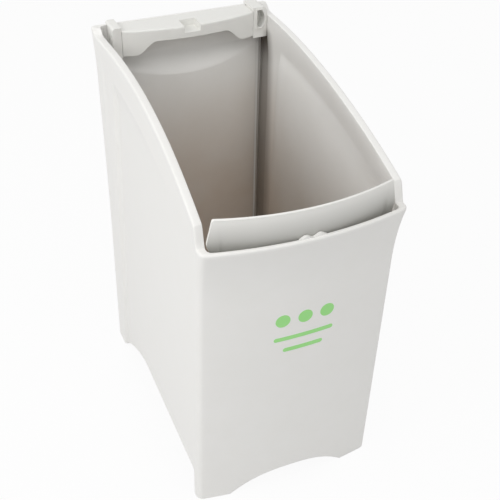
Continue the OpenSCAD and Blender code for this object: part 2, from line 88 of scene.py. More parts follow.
def colour(name, description, default):
    """A linear colour."""
    return bpy.props.FloatVectorProperty(
        name=name,
        description=description,
        default=default,
        size=3,
        min=0.0,
        max=1.0,
        subtype="COLOR",
    )


class TubSizes(bpy.types.PropertyGroup):
    """Sizes of the moulded tub."""

    width: size("Width", "Width across the rim's corners", 0.300)
    depth: size("Depth", "From the front rim's corners to the back", 0.474)
    front_height: size("Front Height", "Height of the front rim", 0.496)
    side_height: size("Side Height", "Height of the side rims at the hinge", 0.610)
    shoulder_height: size(
        "Shoulder Height", "Height at which the side rims' sweep ends", 0.527
    )
    level_length: size(
        "Level Length", "Level stretch of the side rims before the back", 0.074
    )
    rear_rise: size("Rear Rise", "Rise of the rear wall above the side rims", 0.009)
    wall: size("Wall", "Thickness of the walls", 0.0032)
    corner_radius: size("Corner Radius", "Radius of the upright corners", 0.0112)
    rim_bow: size("Rim Bow", "Forward bow of the front rim", 0.020)
    foot_bow: size("Foot Bow", "Forward bow of the front wall at the floor", 0.015)
    rim_waist: size("Rim Waist", "Waist of each side rim at mid length", 0.0052)
    rim_taper: size("Rim Taper", "How far each side rim runs in to the back", 0.0017)
    side_rim: size("Side Rim", "Width of the side rims' top", 0.012)
    end_rim: size("End Rim", "Width of the front and rear rims' top", 0.006)
    front_lip: size("Front Lip", "Lip of the front rim before the flare", 0.0015)
    flare_height: size("Flare Height", "Height of the flare under the rim", 0.098)
    front_flare: size("Front Flare", "Flare of the front wall to its rim", 0.0122)
    front_lean: size("Front Lean", "Lean of the front wall below its flare", 0.020)
    rear_flare: size("Rear Flare", "Flare of the rear wall to its rim", 0.010)
    post_length: size("Post Length", "Length of the rear corner posts along the side", 0.040)
    post_out: size("Post Out", "How far a post stands out below the flare", 0.0038)
    post_back: size("Post Back", "How far a post stands out behind the rear wall", 0.005)
    floor_height: size("Floor Height", "Height of the tub's floor", 0.067)
    side_arch: size("Side Arch", "Height of the arches between the side feet", 0.055)
    front_arch: size("Front Arch", "Rise of the arch between the front feet", 0.0345)
    front_foot: size("Front Foot", "Width of each front foot", 0.053)


class FinishSettings(bpy.types.PropertyGroup):
    """Colours and finishes of the bin's materials."""

    plastic: colour("Plastic", "Colour of the moulded plastic", (0.84, 0.832, 0.81))
    # The Soil colour is painted shade inside the tub, not dirt.
    painted_shade: colour("Soil", "Colour of what has settled inside the tub", (0.60, 0.485, 0.385))
    plastic_roughness: share("Plastic Roughness", "Roughness of the plastic", 0.44)
    grain: size("Grain", "Size of the moulded grain", 0.0011, 0.0002, 0.01)
    grain_depth: share("Grain Depth", "Strength of the moulded grain", 0.10)
    wear: share("Wear", "Amount of rubbing and dust on the plastic", 0.5)
    steel: colour("Steel", "Colour of the zinc-plated screws and pins", (0.62, 0.63, 0.65))
    # How strong the painted shade inside the tub is.
    use: share("Use", "How far the inside of the tub is soiled by use", 0.75)
    # How strong the painted shade on the flap is, greyer towards the rim.
    flap_shade: share("Rubbing", "How far the flap is greyed towards the rim", 0.8)
    ink: colour("Ink", "Colour of the printed mark", (0.32, 0.74, 0.23))


class MarkSettings(bpy.types.PropertyGroup):
    """The plain printed mark on the front wall."""

    dot_radius: size("Dot Radius", "Radius of each printed dot", 0.011)
    dot_pitch: size("Dot Pitch", "Distance between the dots", 0.034)
    height: size("Mark Height", "Height of the dots above the floor", 0.352)
    rule_drop: size("Rule Drop", "Drop from the dots to the rule below them", 0.034)


class StageSettings(bpy.types.PropertyGroup):
    """Floor, lights and camera."""

    floor: colour("Floor", "Colour of the studio floor", (0.74, 0.74, 0.74))
    floor_glow: share("Floor Glow", "How far the floor is seen as plain white", 0.94)
    world: share("World Light", "Strength of the even light all round", 0.63, 4.0)
    key: share("Key Light", "Power of the lamp at the left, in watts", 22.0, 500.0)
    front: share("Front Light", "Power of the lamp in front, in watts", 4.5, 500.0)
    top: share("Top Light", "Power of the lamp overhead, in watts", 12.5, 500.0)


# ---- The tub's surfaces ----

LIP = 0.008  # upright lip at the top of each flare
FRONT_LIP_FADE = 1.5  # the front lip fades out over this many lips
OUTER_EDGE = 0.0035  # rounding of the rim's outer edge
INNER_EDGE = 0.0012  # rounding of its inner edge
FOOT_EDGE = 0.0006  # rounding of the feet's edges
FLOOR_FILLET = 0.008
FILLET_TRIM = 0.4  # the floor's corners grow by this share of its fillet
FLOOR_THICKNESS = 0.003
FRONT_STEP = 0.0115  # the front rim's level ends here
SHOULDER = 0.024  # the side rim's sweep starts here
FRONT_IN = 0.0012  # the side walls stand in from the rim's corners by this at the front,
STRIP_IN_LOW = 0.0052  # by this near the back at the floor
STRIP_IN_HIGH = 0.0082  # and by this there below the flare
PANEL_IN = 0.0065
PANEL_BELOW_RIM = 0.048
PANEL_BLEND = 0.034
PANEL_EDGE = 0.009
PANEL_EDGE_LOW = 0.056  # the side panels end this far before the back at the floor
PANEL_EDGE_LEAN = 0.068
PANEL_FADE = 0.060
REAR_PANEL_IN = 0.016
REAR_PANEL_STEP = 0.0015
REAR_PANEL_BOW = 0.0175
REAR_PANEL_CHAMFER = 0.003
RAMP_TOP = 0.057  # below the rear rim
RAMP_SLOPE = 1.75
POST_STEP = 0.004  # run of the step from the side wall out to a post
POST_LEAD = 0.010  # outside, the step starts this much earlier
POST_BACK_STEP = 0.003
POST_WIDTH = 0.006
POST_WAIST = 0.0069  # the posts stand in by this where they are closest together
POST_WAIST_AT = 0.4  # and that is at this share of their height
REAR_RADIUS = 0.006  # outer radius of the posts
REAR_FILL = 0.011  # radius of the rim's inner corner over them
REAR_INNER = 0.0015  # their inner radius below the flare
FRONT_FOOT_LENGTH = 0.0485
REAR_FOOT_LENGTH = 0.043
REAR_ARCH_RUN = 0.131
ARCH_RADIUS = 0.008
SIDE_ARCH_POWER = 1.6
FRONT_ARCH_POWER = 2.5
INNER_RADIUS = 0.008
REAR_RISE_START = 0.024  # before the back, the rim rises to the rear wall from here
REAR_RISE_RUN = 0.018
SKIRT_ABOVE_ARCH = 0.004
SIDE_RIM_TAPER = 0.8  # the side rims thin to the wall over this share of the flare
END_RIM_TAPER = 0.040  # and the front and rear rims over this height
REAR_FILL_TAPER = 0.6  # share of the flare over which the rear inner corners tighten
COLUMN_GAP = 0.0003  # least distance between the columns beside a rear corner


def lerp(a, b, t):
    return a + (b - a) * t


def unit(t):
    return min(1.0, max(0.0, t))


def smooth(t):
    u = unit(t)
    return u * u * (3 - 2 * u)


class Tub:
    """The tub's surfaces as functions of depth y and height z, drop being the distance
    below the rim."""

    def __init__(self, sizes):
        self.s = sizes
        self.half = sizes.width / 2
        self.rear_height = sizes.side_height + sizes.rear_rise
        self.post_top = self.rear_height - sizes.flare_height
        self.level = sizes.depth - sizes.level_length
        run = self.level - SHOULDER
        fall = sizes.side_height - sizes.shoulder_height
        self.sweep_radius = (run * run + fall * fall) / (2 * fall)
        self.ramp_top = self.rear_height - RAMP_TOP
        self.skirt_top = sizes.side_arch + SKIRT_ABOVE_ARCH
        self.post_y = sizes.depth - sizes.post_length
        self.rear_foot = sizes.depth - REAR_FOOT_LENGTH
        self.rear_half = self.half - REAR_PANEL_IN
        self.arch_half = self.half - sizes.front_foot

    def rim_z(self, y):
        s = self.s
        if y > self.level:
            rise = smooth((y - s.depth + REAR_RISE_START) / REAR_RISE_RUN)
            return lerp(s.side_height, self.rear_height, rise)
        if y > SHOULDER:
            radius = self.sweep_radius
            return s.side_height - radius + math.sqrt(radius**2 - (self.level - y) ** 2)
        rise = smooth((y - FRONT_STEP) / (SHOULDER - FRONT_STEP))
        return lerp(s.front_height, s.shoulder_height, rise)

    def flare(self, drop):
        t = unit((drop - LIP) / (self.s.flare_height - LIP))
        return 1 - (1 - t) ** 2

    def bow(self, z):
        return lerp(self.s.foot_bow, self.s.rim_bow, unit(z / self.s.front_height))

    def setback(self, z):
        s = self.s
        drop = max(0.0, s.front_height - z)
        return s.front_lean * drop / s.front_height + s.front_flare * self.flare(drop)

    def front_y(self, x, z):
        s = self.s
        below = max(OUTER_EDGE, s.front_height - z)
        lip = s.front_lip * (1 - smooth(below / (FRONT_LIP_FADE * LIP)))
        return self.setback(z) - lip - self.bow(z) * (1 - (x / self.half) ** 2)

    def panel_y(self, z):
        return self.s.depth - PANEL_EDGE_LOW - PANEL_EDGE_LEAN * z

    def panel_depth(self, y, z, drop):
        edge = self.panel_y(z)
        if y < edge:
            part = unit((y - PANEL_FADE) / (edge - PANEL_FADE))
        else:
            part = 1 - smooth((y - edge) / PANEL_EDGE)
        fade = 1 - unit((drop - PANEL_BELOW_RIM) / PANEL_BLEND)
        return PANEL_IN * part * (1 - fade * fade)

    def strip_half(self, z):
        return self.half - lerp(STRIP_IN_LOW, STRIP_IN_HIGH, z / self.post_top)

    def post_half(self, z):
        waist = POST_WAIST_AT * self.post_top
        t = min(1.0, (z - waist) / (self.post_top - waist))
        gain = self.s.post_out + POST_WAIST - STRIP_IN_HIGH
        return max(self.strip_half(z), self.half - POST_WAIST + gain * t * t)

    def side_x(self, y, z, drop, lead=0.0):
        s = self.s
        t = unit((y - s.corner_radius) / (s.depth - 2 * s.corner_radius))
        rim = self.half - s.rim_taper * t - s.rim_waist * math.sin(math.pi * t)
        wall = lerp(self.half - FRONT_IN, self.strip_half(z), unit(y / s.depth))
        post = smooth((y - self.post_y + lead) / (POST_STEP + lead))
        wall = lerp(wall, self.post_half(z), post)
        return lerp(rim, wall, self.flare(drop)) - self.panel_depth(y, z, drop)

    def rear_bulge(self, x):
        flat = self.rear_half - REAR_PANEL_CHAMFER
        if abs(x) >= self.rear_half:
            return 0.0
        if abs(x) > flat:
            return REAR_PANEL_STEP * (self.rear_half - abs(x)) / REAR_PANEL_CHAMFER
        return REAR_PANEL_STEP + REAR_PANEL_BOW * (1 - (x / flat) ** 2)

    def rear_y(self, x, z, drop):
        ramp = max(0.0, (self.ramp_top - z) / RAMP_SLOPE)
        return self.s.depth - self.s.rear_flare * self.flare(drop) - min(self.rear_bulge(x), ramp)

    def post_back_y(self, drop):
        return self.s.depth - (self.s.rear_flare - self.s.post_back) * self.flare(drop)

    def side_arch_z(self, y):
        if y < FRONT_FOOT_LENGTH:
            return 0.0
        rise = unit((y - FRONT_FOOT_LENGTH) / ARCH_RADIUS)
        fall = unit((self.rear_foot - y) / REAR_ARCH_RUN)
        arch = self.s.side_arch
        round_end = arch - ARCH_RADIUS + ARCH_RADIUS * math.sqrt(1 - (1 - rise) ** 2)
        return min(round_end, arch * (1 - (1 - fall) ** SIDE_ARCH_POWER))

    def walls(self, drop):
        """Wall thickness at the sides, front and back."""
        s = self.s
        side = lerp(s.side_rim, s.wall, smooth(drop / (SIDE_RIM_TAPER * s.flare_height)))
        end = lerp(s.end_rim, s.wall, unit(drop / END_RIM_TAPER))
        return side, end

    def rear_radius(self, drop, hollow):
        """Radius of a rear corner, outside or inside the hollow."""
        if not hollow:
            return REAR_RADIUS
        return lerp(REAR_FILL, REAR_INNER, smooth(drop / (REAR_FILL_TAPER * self.s.flare_height)))

    # The tub is drawn out ring by ring. A column is a place on the ring's right half.

    def point(self, column, z, drop, inset=(0.0, 0.0), trim=0.0, hollow=False):
        """Where a column crosses height z, moved in by inset (side, end). The corners'
        radii grow by trim inside the hollow and shrink by it outside."""
        face, t = column
        side, end = inset
        lead = 0.0 if hollow else POST_LEAD
        radius = INNER_RADIUS + trim if hollow else self.s.corner_radius - trim
        turn = self.rear_radius(drop, hollow) + (trim if hollow else -trim)
        lean = math.atan(2 * self.bow(z) / self.half)
        front_half = self.side_x(self.setback(z) + radius, z, drop) - side
        tangent = front_half - radius * (1 - math.sin(lean))
        corner_y = self.front_y(tangent, z) + end + radius * math.cos(lean)
        back = self.post_back_y(drop) - end
        post_x = self.side_x(self.s.depth, z, drop)
        rear_end = post_x - side - turn
        if face in ("arch", "foot"):
            x = t * self.arch_half if face == "arch" else lerp(self.arch_half, tangent, t)
            return x, self.front_y(x, z) + end
        if face == "front corner":
            a = lerp(lean - math.pi / 2, 0, t)
            return front_half - radius + radius * math.cos(a), corner_y + radius * math.sin(a)
        if face in SIDE_FACES:
            edge = self.panel_y(z)
            y = {
                "shoulder": corner_y + t,
                "side": lerp(corner_y + SHOULDERS[-1], edge, t),
                "panel edge": edge + t * PANEL_EDGE,
                "strip": lerp(edge + PANEL_EDGE, self.post_y, t),
                "post step": self.post_y + t * POST_STEP,
                "post side": lerp(self.post_y + POST_STEP, back - turn, t),
            }[face]
            return self.side_x(y, z, drop, lead) - side, y
        if face == "rear corner":
            a = math.pi / 2 * t
            return rear_end + turn * math.cos(a), back - turn + turn * math.sin(a)
        wall_y = self.rear_y(self.half, z, drop) - end
        if face == "post back":
            inner_x = post_x - POST_WIDTH - (1 - t) * POST_BACK_STEP
            outer_x = rear_end - (2 - t) * COLUMN_GAP
            return min(inner_x, outer_x), lerp(wall_y, back, smooth(t))
        if face == "rear edge":
            return min(self.rear_half, rear_end - 3 * COLUMN_GAP), wall_y
        x = t * min(self.rear_half - REAR_PANEL_CHAMFER, rear_end - 4 * COLUMN_GAP)
        return x, self.rear_y(x, z, drop) - end

    def rim(self, column):
        face, t = column
        if face in ("arch", "foot"):
            return self.s.front_height
        if face in ("rear", "rear edge", "post back"):
            return self.rear_height
        z = self.s.front_height if face == "front corner" else self.s.side_height
        return self.rim_z(self.point(column, z, 0.0)[1])

    def foot(self, column):
        face, t = column
        if face == "arch":
            return self.s.front_arch * (1 - t**FRONT_ARCH_POWER)
        if face in SIDE_FACES:
            return self.side_arch_z(self.point(column, 0.0, self.s.flare_height)[1])
        return 0.0

    def panel(self, column):
        """Lower and upper end of the blend at a column's panel top."""
        face, t = column
        if face in ("rear", "rear edge"):
            x = t * (self.rear_half - REAR_PANEL_CHAMFER) if face == "rear" else self.rear_half
            bulge = max(self.rear_bulge(x), REAR_PANEL_STEP)
            return self.ramp_top - RAMP_SLOPE * bulge, self.ramp_top
        top = self.rim(column) - PANEL_BELOW_RIM
        return top - PANEL_BLEND, top


def steps(count, first=0, last=None):
    """Fractions k / count for k from first to last."""
    return [k / count for k in range(first, (count if last is None else last) + 1)]


# distances behind the front corner
SHOULDERS = (
    0.0015, 0.003, 0.005, 0.0065, 0.008, 0.0095, 0.011,
    0.013, 0.015, 0.0175, 0.020, 0.024, 0.028,
)
SIDE_FACES = ("shoulder", "side", "panel edge", "strip", "post step", "post side")
COLUMNS_OF_FACE = {
    "arch": steps(18),
    "foot": (0.2, 0.4, 0.6, 0.8),
    "front corner": steps(10),
    "shoulder": SHOULDERS,
    "side": steps(30, 1),
    "panel edge": steps(8, 1),
    "strip": (0.2, 0.4, 0.55, 0.7, 0.8, 0.9, 1.0),
    "post step": steps(4, 1),
    "post side": steps(8, 1, 7),
    "rear corner": steps(8),
    "post back": reversed(steps(4)),
    "rear edge": (0.0,),
    "rear": reversed(steps(22)),
}
COLUMNS = [(face, t) for face, places in COLUMNS_OF_FACE.items() for t in places]


def at_centre(sizes, x, y, z):
    """A point of the tub in the frame, whose origin is at the bottom's centre."""
    return Vector((x, y - (sizes.depth - sizes.rim_bow - sizes.front_lip) / 2, z))


def rounding(radius, count):
    """Places round a rounded edge from its side to its top, each (distance in, fall)."""
    angles = [math.pi / 2 * t for t in steps(count)]
    return [(radius * (1 - math.cos(a)), radius * (1 - math.sin(a))) for a in angles]


def tub_rings(tub):
    """The rings that the tub is drawn out through, from its underside round the feet,
    up the outside, over the rim and down the inside. Each is (height, inset, trim, hollow)."""
    s = tub.s
    rims = [tub.rim(c) for c in COLUMNS]
    feet = [tub.foot(c) for c in COLUMNS]
    panels = [tub.panel(c) for c in COLUMNS]
    underside = s.floor_height - FLOOR_THICKNESS
    rings = []

    def outside(height, inward=0.0):
        rings.append((height, lambda drop: (inward, inward), inward, False))

    def within(height, inset, trim=0.0):
        rings.append((height, inset, trim, True))

    def thick(extra=0.0):
        return lambda drop: tuple(t + extra for t in tub.walls(drop))

    def skirt(less=0.0):
        return lambda drop: (s.wall - less, s.wall - less)

    spans = (
        [lambda i, t=t: lerp(tub.skirt_top, rims[i] - s.flare_height, t) for t in steps(9)]
        + [lambda i, t=t: lerp(rims[i] - s.flare_height, panels[i][0], t) for t in steps(5, 1)]
        + [lambda i, t=t: lerp(panels[i][0], panels[i][1], t) for t in steps(6, 1)]
        + [lambda i, t=t: lerp(panels[i][1], rims[i] - LIP, t) for t in steps(7, 1)]
    )
    within(lambda i: underside, skirt())
    within(lambda i: feet[i] + 2 * FOOT_EDGE, skirt())
    for inward, fall in rounding(FOOT_EDGE, 3):
        within(lambda i, fall=fall: feet[i] + fall, skirt(inward))
    for inward, fall in reversed(rounding(FOOT_EDGE, 3)):
        outside(lambda i, fall=fall: feet[i] + fall, inward)
    outside(lambda i: feet[i] + 2 * FOOT_EDGE)
    for span in spans:
        outside(span)
    for inward, fall in rounding(OUTER_EDGE, 7):
        outside(lambda i, fall=fall: rims[i] - fall, inward)
    for inward, fall in reversed(rounding(INNER_EDGE, 4)):
        rim = (s.side_rim - inward, s.end_rim - inward)
        within(lambda i, fall=fall: rims[i] - fall, lambda drop, rim=rim: rim, inward)
    for span in reversed(spans):
        if span is not spans[0]:
            within(span, thick())
    for inward, fall in rounding(FLOOR_FILLET, 6):
        height = s.floor_height + fall
        within(lambda i, height=height: height, thick(inward), FILLET_TRIM * inward)
    return rings, rims


def only(kind, made):
    """The vertices, edges or faces in what a bmesh operator made."""
    return [part for part in made["geom"] if isinstance(part, kind)]


def draw_out_tub(sizes):
    """The tub's shell: one ring of edges extruded through every ring, then closed."""
    tub = Tub(sizes)
    rings, rims = tub_rings(tub)
    places = [(i, 1) for i in range(len(COLUMNS))]
    places += [(i, -1) for i in range(len(COLUMNS) - 2, 0, -1)]

    def spot(number, ring):
        i, hand = places[number]
        height, inset, trim, hollow = ring
        z = height(i)
        drop = rims[i] - z
        x, y = tub.point(COLUMNS[i], z, drop, inset(drop), trim, hollow)
        return at_centre(sizes, hand * x, y, z)

    bm = bmesh.new()
    number = bm.verts.layers.int.new("column")
    first = [bm.verts.new(spot(n, rings[0])) for n in range(len(places))]
    for n, v in enumerate(first):
        v[number] = n
    edges = underside = [bm.edges.new((first[n - 1], v)) for n, v in enumerate(first)]
    for ring in rings[1:]:
        grown = bmesh.ops.extrude_edge_only(bm, edges=edges)
        new = set(only(bmesh.types.BMVert, grown))
        for v in new:
            v.co = spot(v[number], ring)
        edges = [e for e in only(bmesh.types.BMEdge, grown) if set(e.verts) <= new]
    for loop in (underside, edges):
        bmesh.ops.contextual_create(bm, geom=loop)
    bm.verts.layers.int.remove(number)
    bmesh.ops.recalc_face_normals(bm, faces=bm.faces[:])
    return bm


# ---- Modelling helpers ----

SHARP = math.radians(32)


def turned(bm, profile, centre, axis):
    """Spins a profile of (distance along the axis, radius) points right round the axis."""
    axis = Vector(axis).normalized()
    side = axis.orthogonal().normalized()
    before = set(bm.verts)
    row = [bm.verts.new(Vector(centre) + axis * a + side * r) for a, r in profile]
    edges = [bm.edges.new(pair) for pair in zip(row, row[1:])]
    bmesh.ops.spin(
        bm,
        geom=row + edges,
        cent=centre,
        axis=axis,
        angle=2 * math.pi,
        steps=48,
        use_merge=True,
        use_duplicate=False,
    )
    bmesh.ops.remove_doubles(bm, verts=[v for v in bm.verts if v not in before], dist=1e-6)
    faces = {f for v in bm.verts if v not in before for f in v.link_faces}
    bmesh.ops.recalc_face_normals(bm, faces=list(faces))


def rounded_rod(length, radius, edge):
    """Profile of a solid rod from 0 to length with rounded ends."""
    start = [(along, radius - fall) for along, fall in rounding(edge, 3)]
    end = [(length - along, r) for along, r in reversed(start)]
    return [(0.0, 0.0)] + start + end + [(length, 0.0)]


def shade(mesh):
    """Smooth shading, but for edges over the sharp angle."""
    mesh.shade_smooth()
    mesh.set_sharp_from_angle(angle=SHARP)


def new_piece(name, bm, finish):
    """A finished mesh object of one material."""
    mesh = bpy.data.meshes.new(name)
    bm.to_mesh(mesh)
    bm.free()
    shade(mesh)
    mesh.materials.append(finish)
    piece = bpy.data.objects.new(name, mesh)
    bpy.context.collection.objects.link(piece)
    return piece


def belongs(piece, body, slot, *nodes):
    """Says what a piece moves with and hides the frame parts that it stands for; the slot, what it
    is made of, is not used.
    """
    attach(piece, body)
    if nodes:
        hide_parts(*nodes)


def apply_modifiers(piece):
    """Puts the result of a piece's modifiers into its mesh."""
    seen = piece.evaluated_get(bpy.context.evaluated_depsgraph_get())
    mesh = bpy.data.meshes.new_from_object(seen)
    piece.modifiers.clear()
    old, piece.data = piece.data, mesh
    mesh.name = old.name
    bpy.data.meshes.remove(old)
    shade(mesh)


def combine(piece, tool, operation):
    """Joins or cuts a piece with a second mesh, which is used up."""
    mesh = bpy.data.meshes.new("tool")
    tool.to_mesh(mesh)
    tool.free()
    other = bpy.data.objects.new("tool", mesh)
    bpy.context.collection.objects.link(other)
    cut = piece.modifiers.new("combine", "BOOLEAN")
    cut.operation = operation
    cut.solver = "EXACT"
    cut.object = other
    bpy.context.view_layer.update()
    apply_modifiers(piece)
    bpy.data.objects.remove(other)
    bpy.data.meshes.remove(mesh)


def smooth_copy(node, name, plastic, body, edge):
    """Stands a copy of a frame part in its place, its triangles merged and edges rounded."""
    bm = bmesh.new()
    bm.from_mesh(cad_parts[node].data)
    bmesh.ops.remove_doubles(bm, verts=bm.verts[:], dist=2e-6)
    flat = math.radians(0.4)
    bmesh.ops.dissolve_limit(bm, angle_limit=flat, verts=bm.verts[:], edges=bm.edges[:])
    piece = new_piece(name, bm, material(plastic))
    bevel = piece.modifiers.new("rounded edges", "BEVEL")
    bevel.width = edge
    bevel.segments = 3
    bevel.limit_method = "ANGLE"
    bevel.angle_limit = SHARP
    bevel.harden_normals = True
    belongs(piece, body, PLASTIC_SLOT, node)


# ---- Materials ----


class Tree:
    """Adds nodes to a node tree and links them."""

    def __init__(self, tree):
        self.tree = tree
        self.column = 0

    def add(self, kind, **values):
        """A node, whose values are set by attribute name or by input name."""
        node = self.tree.nodes.new(kind)
        node.location = (self.column, 0)
        self.column += 190
        for key, value in values.items():
            if hasattr(node, key):
                setattr(node, key, value)
            else:
                self.feed(node.inputs[key.replace("_", " ")], value)
        return node

    def place(self):
        """The point being shaded, on the object's own axes."""
        return self.add("ShaderNodeTexCoord").outputs["Object"]

    def normal(self):
        return self.add("ShaderNodeNewGeometry").outputs["Normal"]

    def axes(self, vector):
        """The three parts of a vector."""
        return self.add("ShaderNodeSeparateXYZ", Vector=vector).outputs

    def feed(self, socket, value):
        if isinstance(value, bpy.types.NodeSocket):
            self.tree.links.new(value, socket)
        else:
            socket.default_value = value

    def sums(self, operation, *values, clamp=False):
        """The result of a Math node."""
        node = self.add("ShaderNodeMath", operation=operation, use_clamp=clamp)
        for socket, value in zip(node.inputs, values):
            self.feed(socket, value)
        return node.outputs[0]

    def product(self, first, *others):
        """Values multiplied together."""
        for value in others:
            first = self.sums("MULTIPLY", first, value)
        return first

    def spread(self, value, low, high, to_low=0.0, to_high=1.0, kind="SMOOTHSTEP"):
        """A value carried from one range to another, smoothly unless another kind is given."""
        ranges = {"From_Min": low, "From_Max": high, "To_Min": to_low, "To_Max": to_high}
        node = self.add("ShaderNodeMapRange", interpolation_type=kind, Value=value, **ranges)
        return node.outputs["Result"]

    def blend(self, factor, a, b):
        """A mix of two colours."""
        node = self.add("ShaderNodeMix", data_type="RGBA")
        self.feed(node.inputs[0], factor)
        self.feed(node.inputs[6], a)
        self.feed(node.inputs[7], b)
        return node.outputs[2]

    def noise(self, place, scale, detail=2.0, roughness=0.5, stretch=None):
        """Noise in space, stretched along the axes if asked."""
        if stretch:
            place = self.add("ShaderNodeMapping", Vector=place, Scale=stretch).outputs["Vector"]
        values = {"Vector": place, "Scale": scale, "Detail": detail, "Roughness": roughness}
        return self.add("ShaderNodeTexNoise", noise_dimensions="3D", **values).outputs[0]

    def dress(self, shader, colour_now, rough, height, strength, distance):
        """Gives a shader its colour, its roughness and a bump of the given height."""
        self.feed(shader.inputs["Base Color"], colour_now)
        self.feed(shader.inputs["Roughness"], rough)
        bump = self.add("ShaderNodeBump", Strength=strength, Distance=distance, Height=height)
        self.feed(shader.inputs["Normal"], bump.outputs["Normal"])


def new_group(name, inputs, outputs):
    """An empty node group with named inputs (name: default) and outputs."""
    group = bpy.data.node_groups.new(name, "ShaderNodeTree")
    for key, default in inputs.items():
        socket = group.interface.new_socket(key, in_out="INPUT", socket_type="NodeSocketFloat")
        socket.default_value = default
    for key in outputs:
        group.interface.new_socket(key, in_out="OUTPUT", socket_type="NodeSocketFloat")
    tree = Tree(group)
    given, made = tree.add("NodeGroupInput"), tree.add("NodeGroupOutput")
    return group, tree, given.outputs, made.inputs


def grain_group():
    """Fine moulded grain on top of the slow unevenness of a cooled wall."""
    group, tree, given, made = new_group(
        "moulded grain", {"Grain Size": 0.001, "Unevenness": 0.3}, ("Height", "Patches")
    )
    place = tree.place()
    fine = tree.noise(place, tree.sums("DIVIDE", 1.0, given["Grain Size"]), 3.0, 0.6)
    slow = tree.noise(place, 9.0, 1.0)
    height = tree.sums("MULTIPLY_ADD", slow, given["Unevenness"], fine)
    tree.feed(made["Height"], height)
    tree.feed(made["Patches"], tree.noise(place, 21.0, 4.0, 0.62))
    return group


def wear_group():
    """Rubbed streaks, and dust that settles on what faces up."""
    group, tree, given, made = new_group("wear", {"Amount": 0.5}, ("Rubbed", "Dust"))
    place = tree.place()
    streaks = tree.noise(place, 60.0, 3.0, 0.6, stretch=(1.0, 0.35, 0.12))
    clouds = tree.noise(place, 7.0, 3.0, 0.6)
    amount = given["Amount"]
    rubbed = tree.product(tree.spread(streaks, 0.56, 0.78), tree.spread(clouds, 0.45, 0.7), amount)
    tree.feed(made["Rubbed"], rubbed)
    upward = tree.spread(tree.axes(tree.normal())[2], 0.5, 0.95)
    specks = tree.spread(tree.noise(place, 260.0, 4.0, 0.7), 0.5, 0.85)
    dust = tree.sums("ADD", tree.product(specks, 0.7), 0.15)
    tree.feed(made["Dust"], tree.product(upward, dust, amount))
    return group


SHADE_SIDE = 0.1405  # where the side walls are taken to be, from the middle
SHADE_BACK = 0.2335  # and the rear wall
# Where the painted shade inside the tub falls. Each pair is where it starts and where it is full,
# in metres.
SHADE_DEPTHS = (0.06, 0.50)  # below the rim
REAR_DEPTHS = (0.06, 0.20)  # the same for the extra painted shade on the rear wall
REAR_MORE = 0.30
REAR_FROM = (0.08, 0.22)  # behind the middle
# The posts' corners get the darkest painted shade, with paler painted shade just before them.
CORNER_ACROSS = (-0.008, -0.002)  # in a post's corner, from the side wall
CORNER_ALONG = (-0.026, -0.021)  # and from the back
BESIDE_ACROSS = (-0.016, -0.003)  # the paler stretch before the corner
BESIDE_ALONG = (-0.052, -0.024)
BESIDE_SHARE = 0.48
CORNER_TOP = (0.018, 0.032)  # below the rim
CORNER_FADE = (0.10, 0.035, 0.62, 1.0)  # depths below the rim, and the shares there
SIDE_WEIGHT = 4.0  # extra weight of facing out at the sides, in telling outside from inside


def painted_shade_group():
    """Painted shade inside the tub: more of it lower down, and most in its posts' corners."""
    group, tree, given, made = new_group(
        "painted_shade", {"Half Width": 0.14, "Back": 0.23, "Rim": 0.6}, ("Settled", "Corners")
    )
    place = tree.place()
    at = tree.axes(place)
    facing = tree.axes(tree.normal())
    sideways = tree.product(at[0], facing[0])
    outward = tree.sums("MULTIPLY_ADD", tree.sums("MAXIMUM", sideways, 0.0), SIDE_WEIGHT, sideways)
    outward = tree.sums("MULTIPLY_ADD", at[1], facing[1], outward)
    within = tree.spread(outward, 0.0, -0.05)
    inside = tree.sums("MAXIMUM", within, tree.spread(facing[2], 0.4, 0.9))
    depth = tree.sums("SUBTRACT", given["Rim"], at[2])
    lower = tree.spread(depth, *SHADE_DEPTHS)
    rear = tree.sums("MAXIMUM", tree.spread(facing[1], -0.5, -0.9), tree.spread(at[1], *REAR_FROM))
    rear = tree.product(rear, tree.spread(depth, *REAR_DEPTHS))
    lower = tree.sums("MULTIPLY_ADD", rear, REAR_MORE, lower, clamp=True)
    clouds = tree.spread(tree.noise(place, 8.0, 3.0, 0.6), 0.3, 0.7, 0.75, 1.0)
    tree.feed(made["Settled"], tree.product(inside, lower, clouds))
    across = tree.sums("SUBTRACT", tree.sums("ABSOLUTE", at[0]), given["Half Width"])
    along = tree.sums("SUBTRACT", at[1], given["Back"])
    corner = tree.product(tree.spread(across, *CORNER_ACROSS), tree.spread(along, *CORNER_ALONG))
    corner = tree.product(corner, tree.product(within, tree.spread(depth, *CORNER_FADE)))
    beside = tree.product(tree.spread(across, *BESIDE_ACROSS), tree.spread(along, *BESIDE_ALONG))
    beside = tree.product(beside, BESIDE_SHARE, within)
    corner = tree.sums("MAXIMUM", corner, beside)
    tree.feed(made["Corners"], tree.product(corner, tree.spread(depth, *CORNER_TOP)))
    return group


def new_material(name):
    material = bpy.data.materials.new(name)
    material.use_nodes = True
    tree = Tree(material.node_tree)
    shader = material.node_tree.nodes["Principled BSDF"]
    return material, tree, shader


def place_group(tree, group, **values):
    """Puts a node group in a tree with its inputs set, and gives its outputs."""
    node = tree.add("ShaderNodeGroup")
    node.node_tree = group
    for key, value in values.items():
        node.inputs[key.replace("_", " ")].default_value = value
    return node.outputs


def opaque(rgb):
    return (*rgb, 1.0)


def tinted(rgb, factors):
    return opaque(c * f for c, f in zip(rgb, factors))


PAINTED_CORNER_SHADE = (0.05, 0.028, 0.012)  # painted shade, deepest in the posts' corners
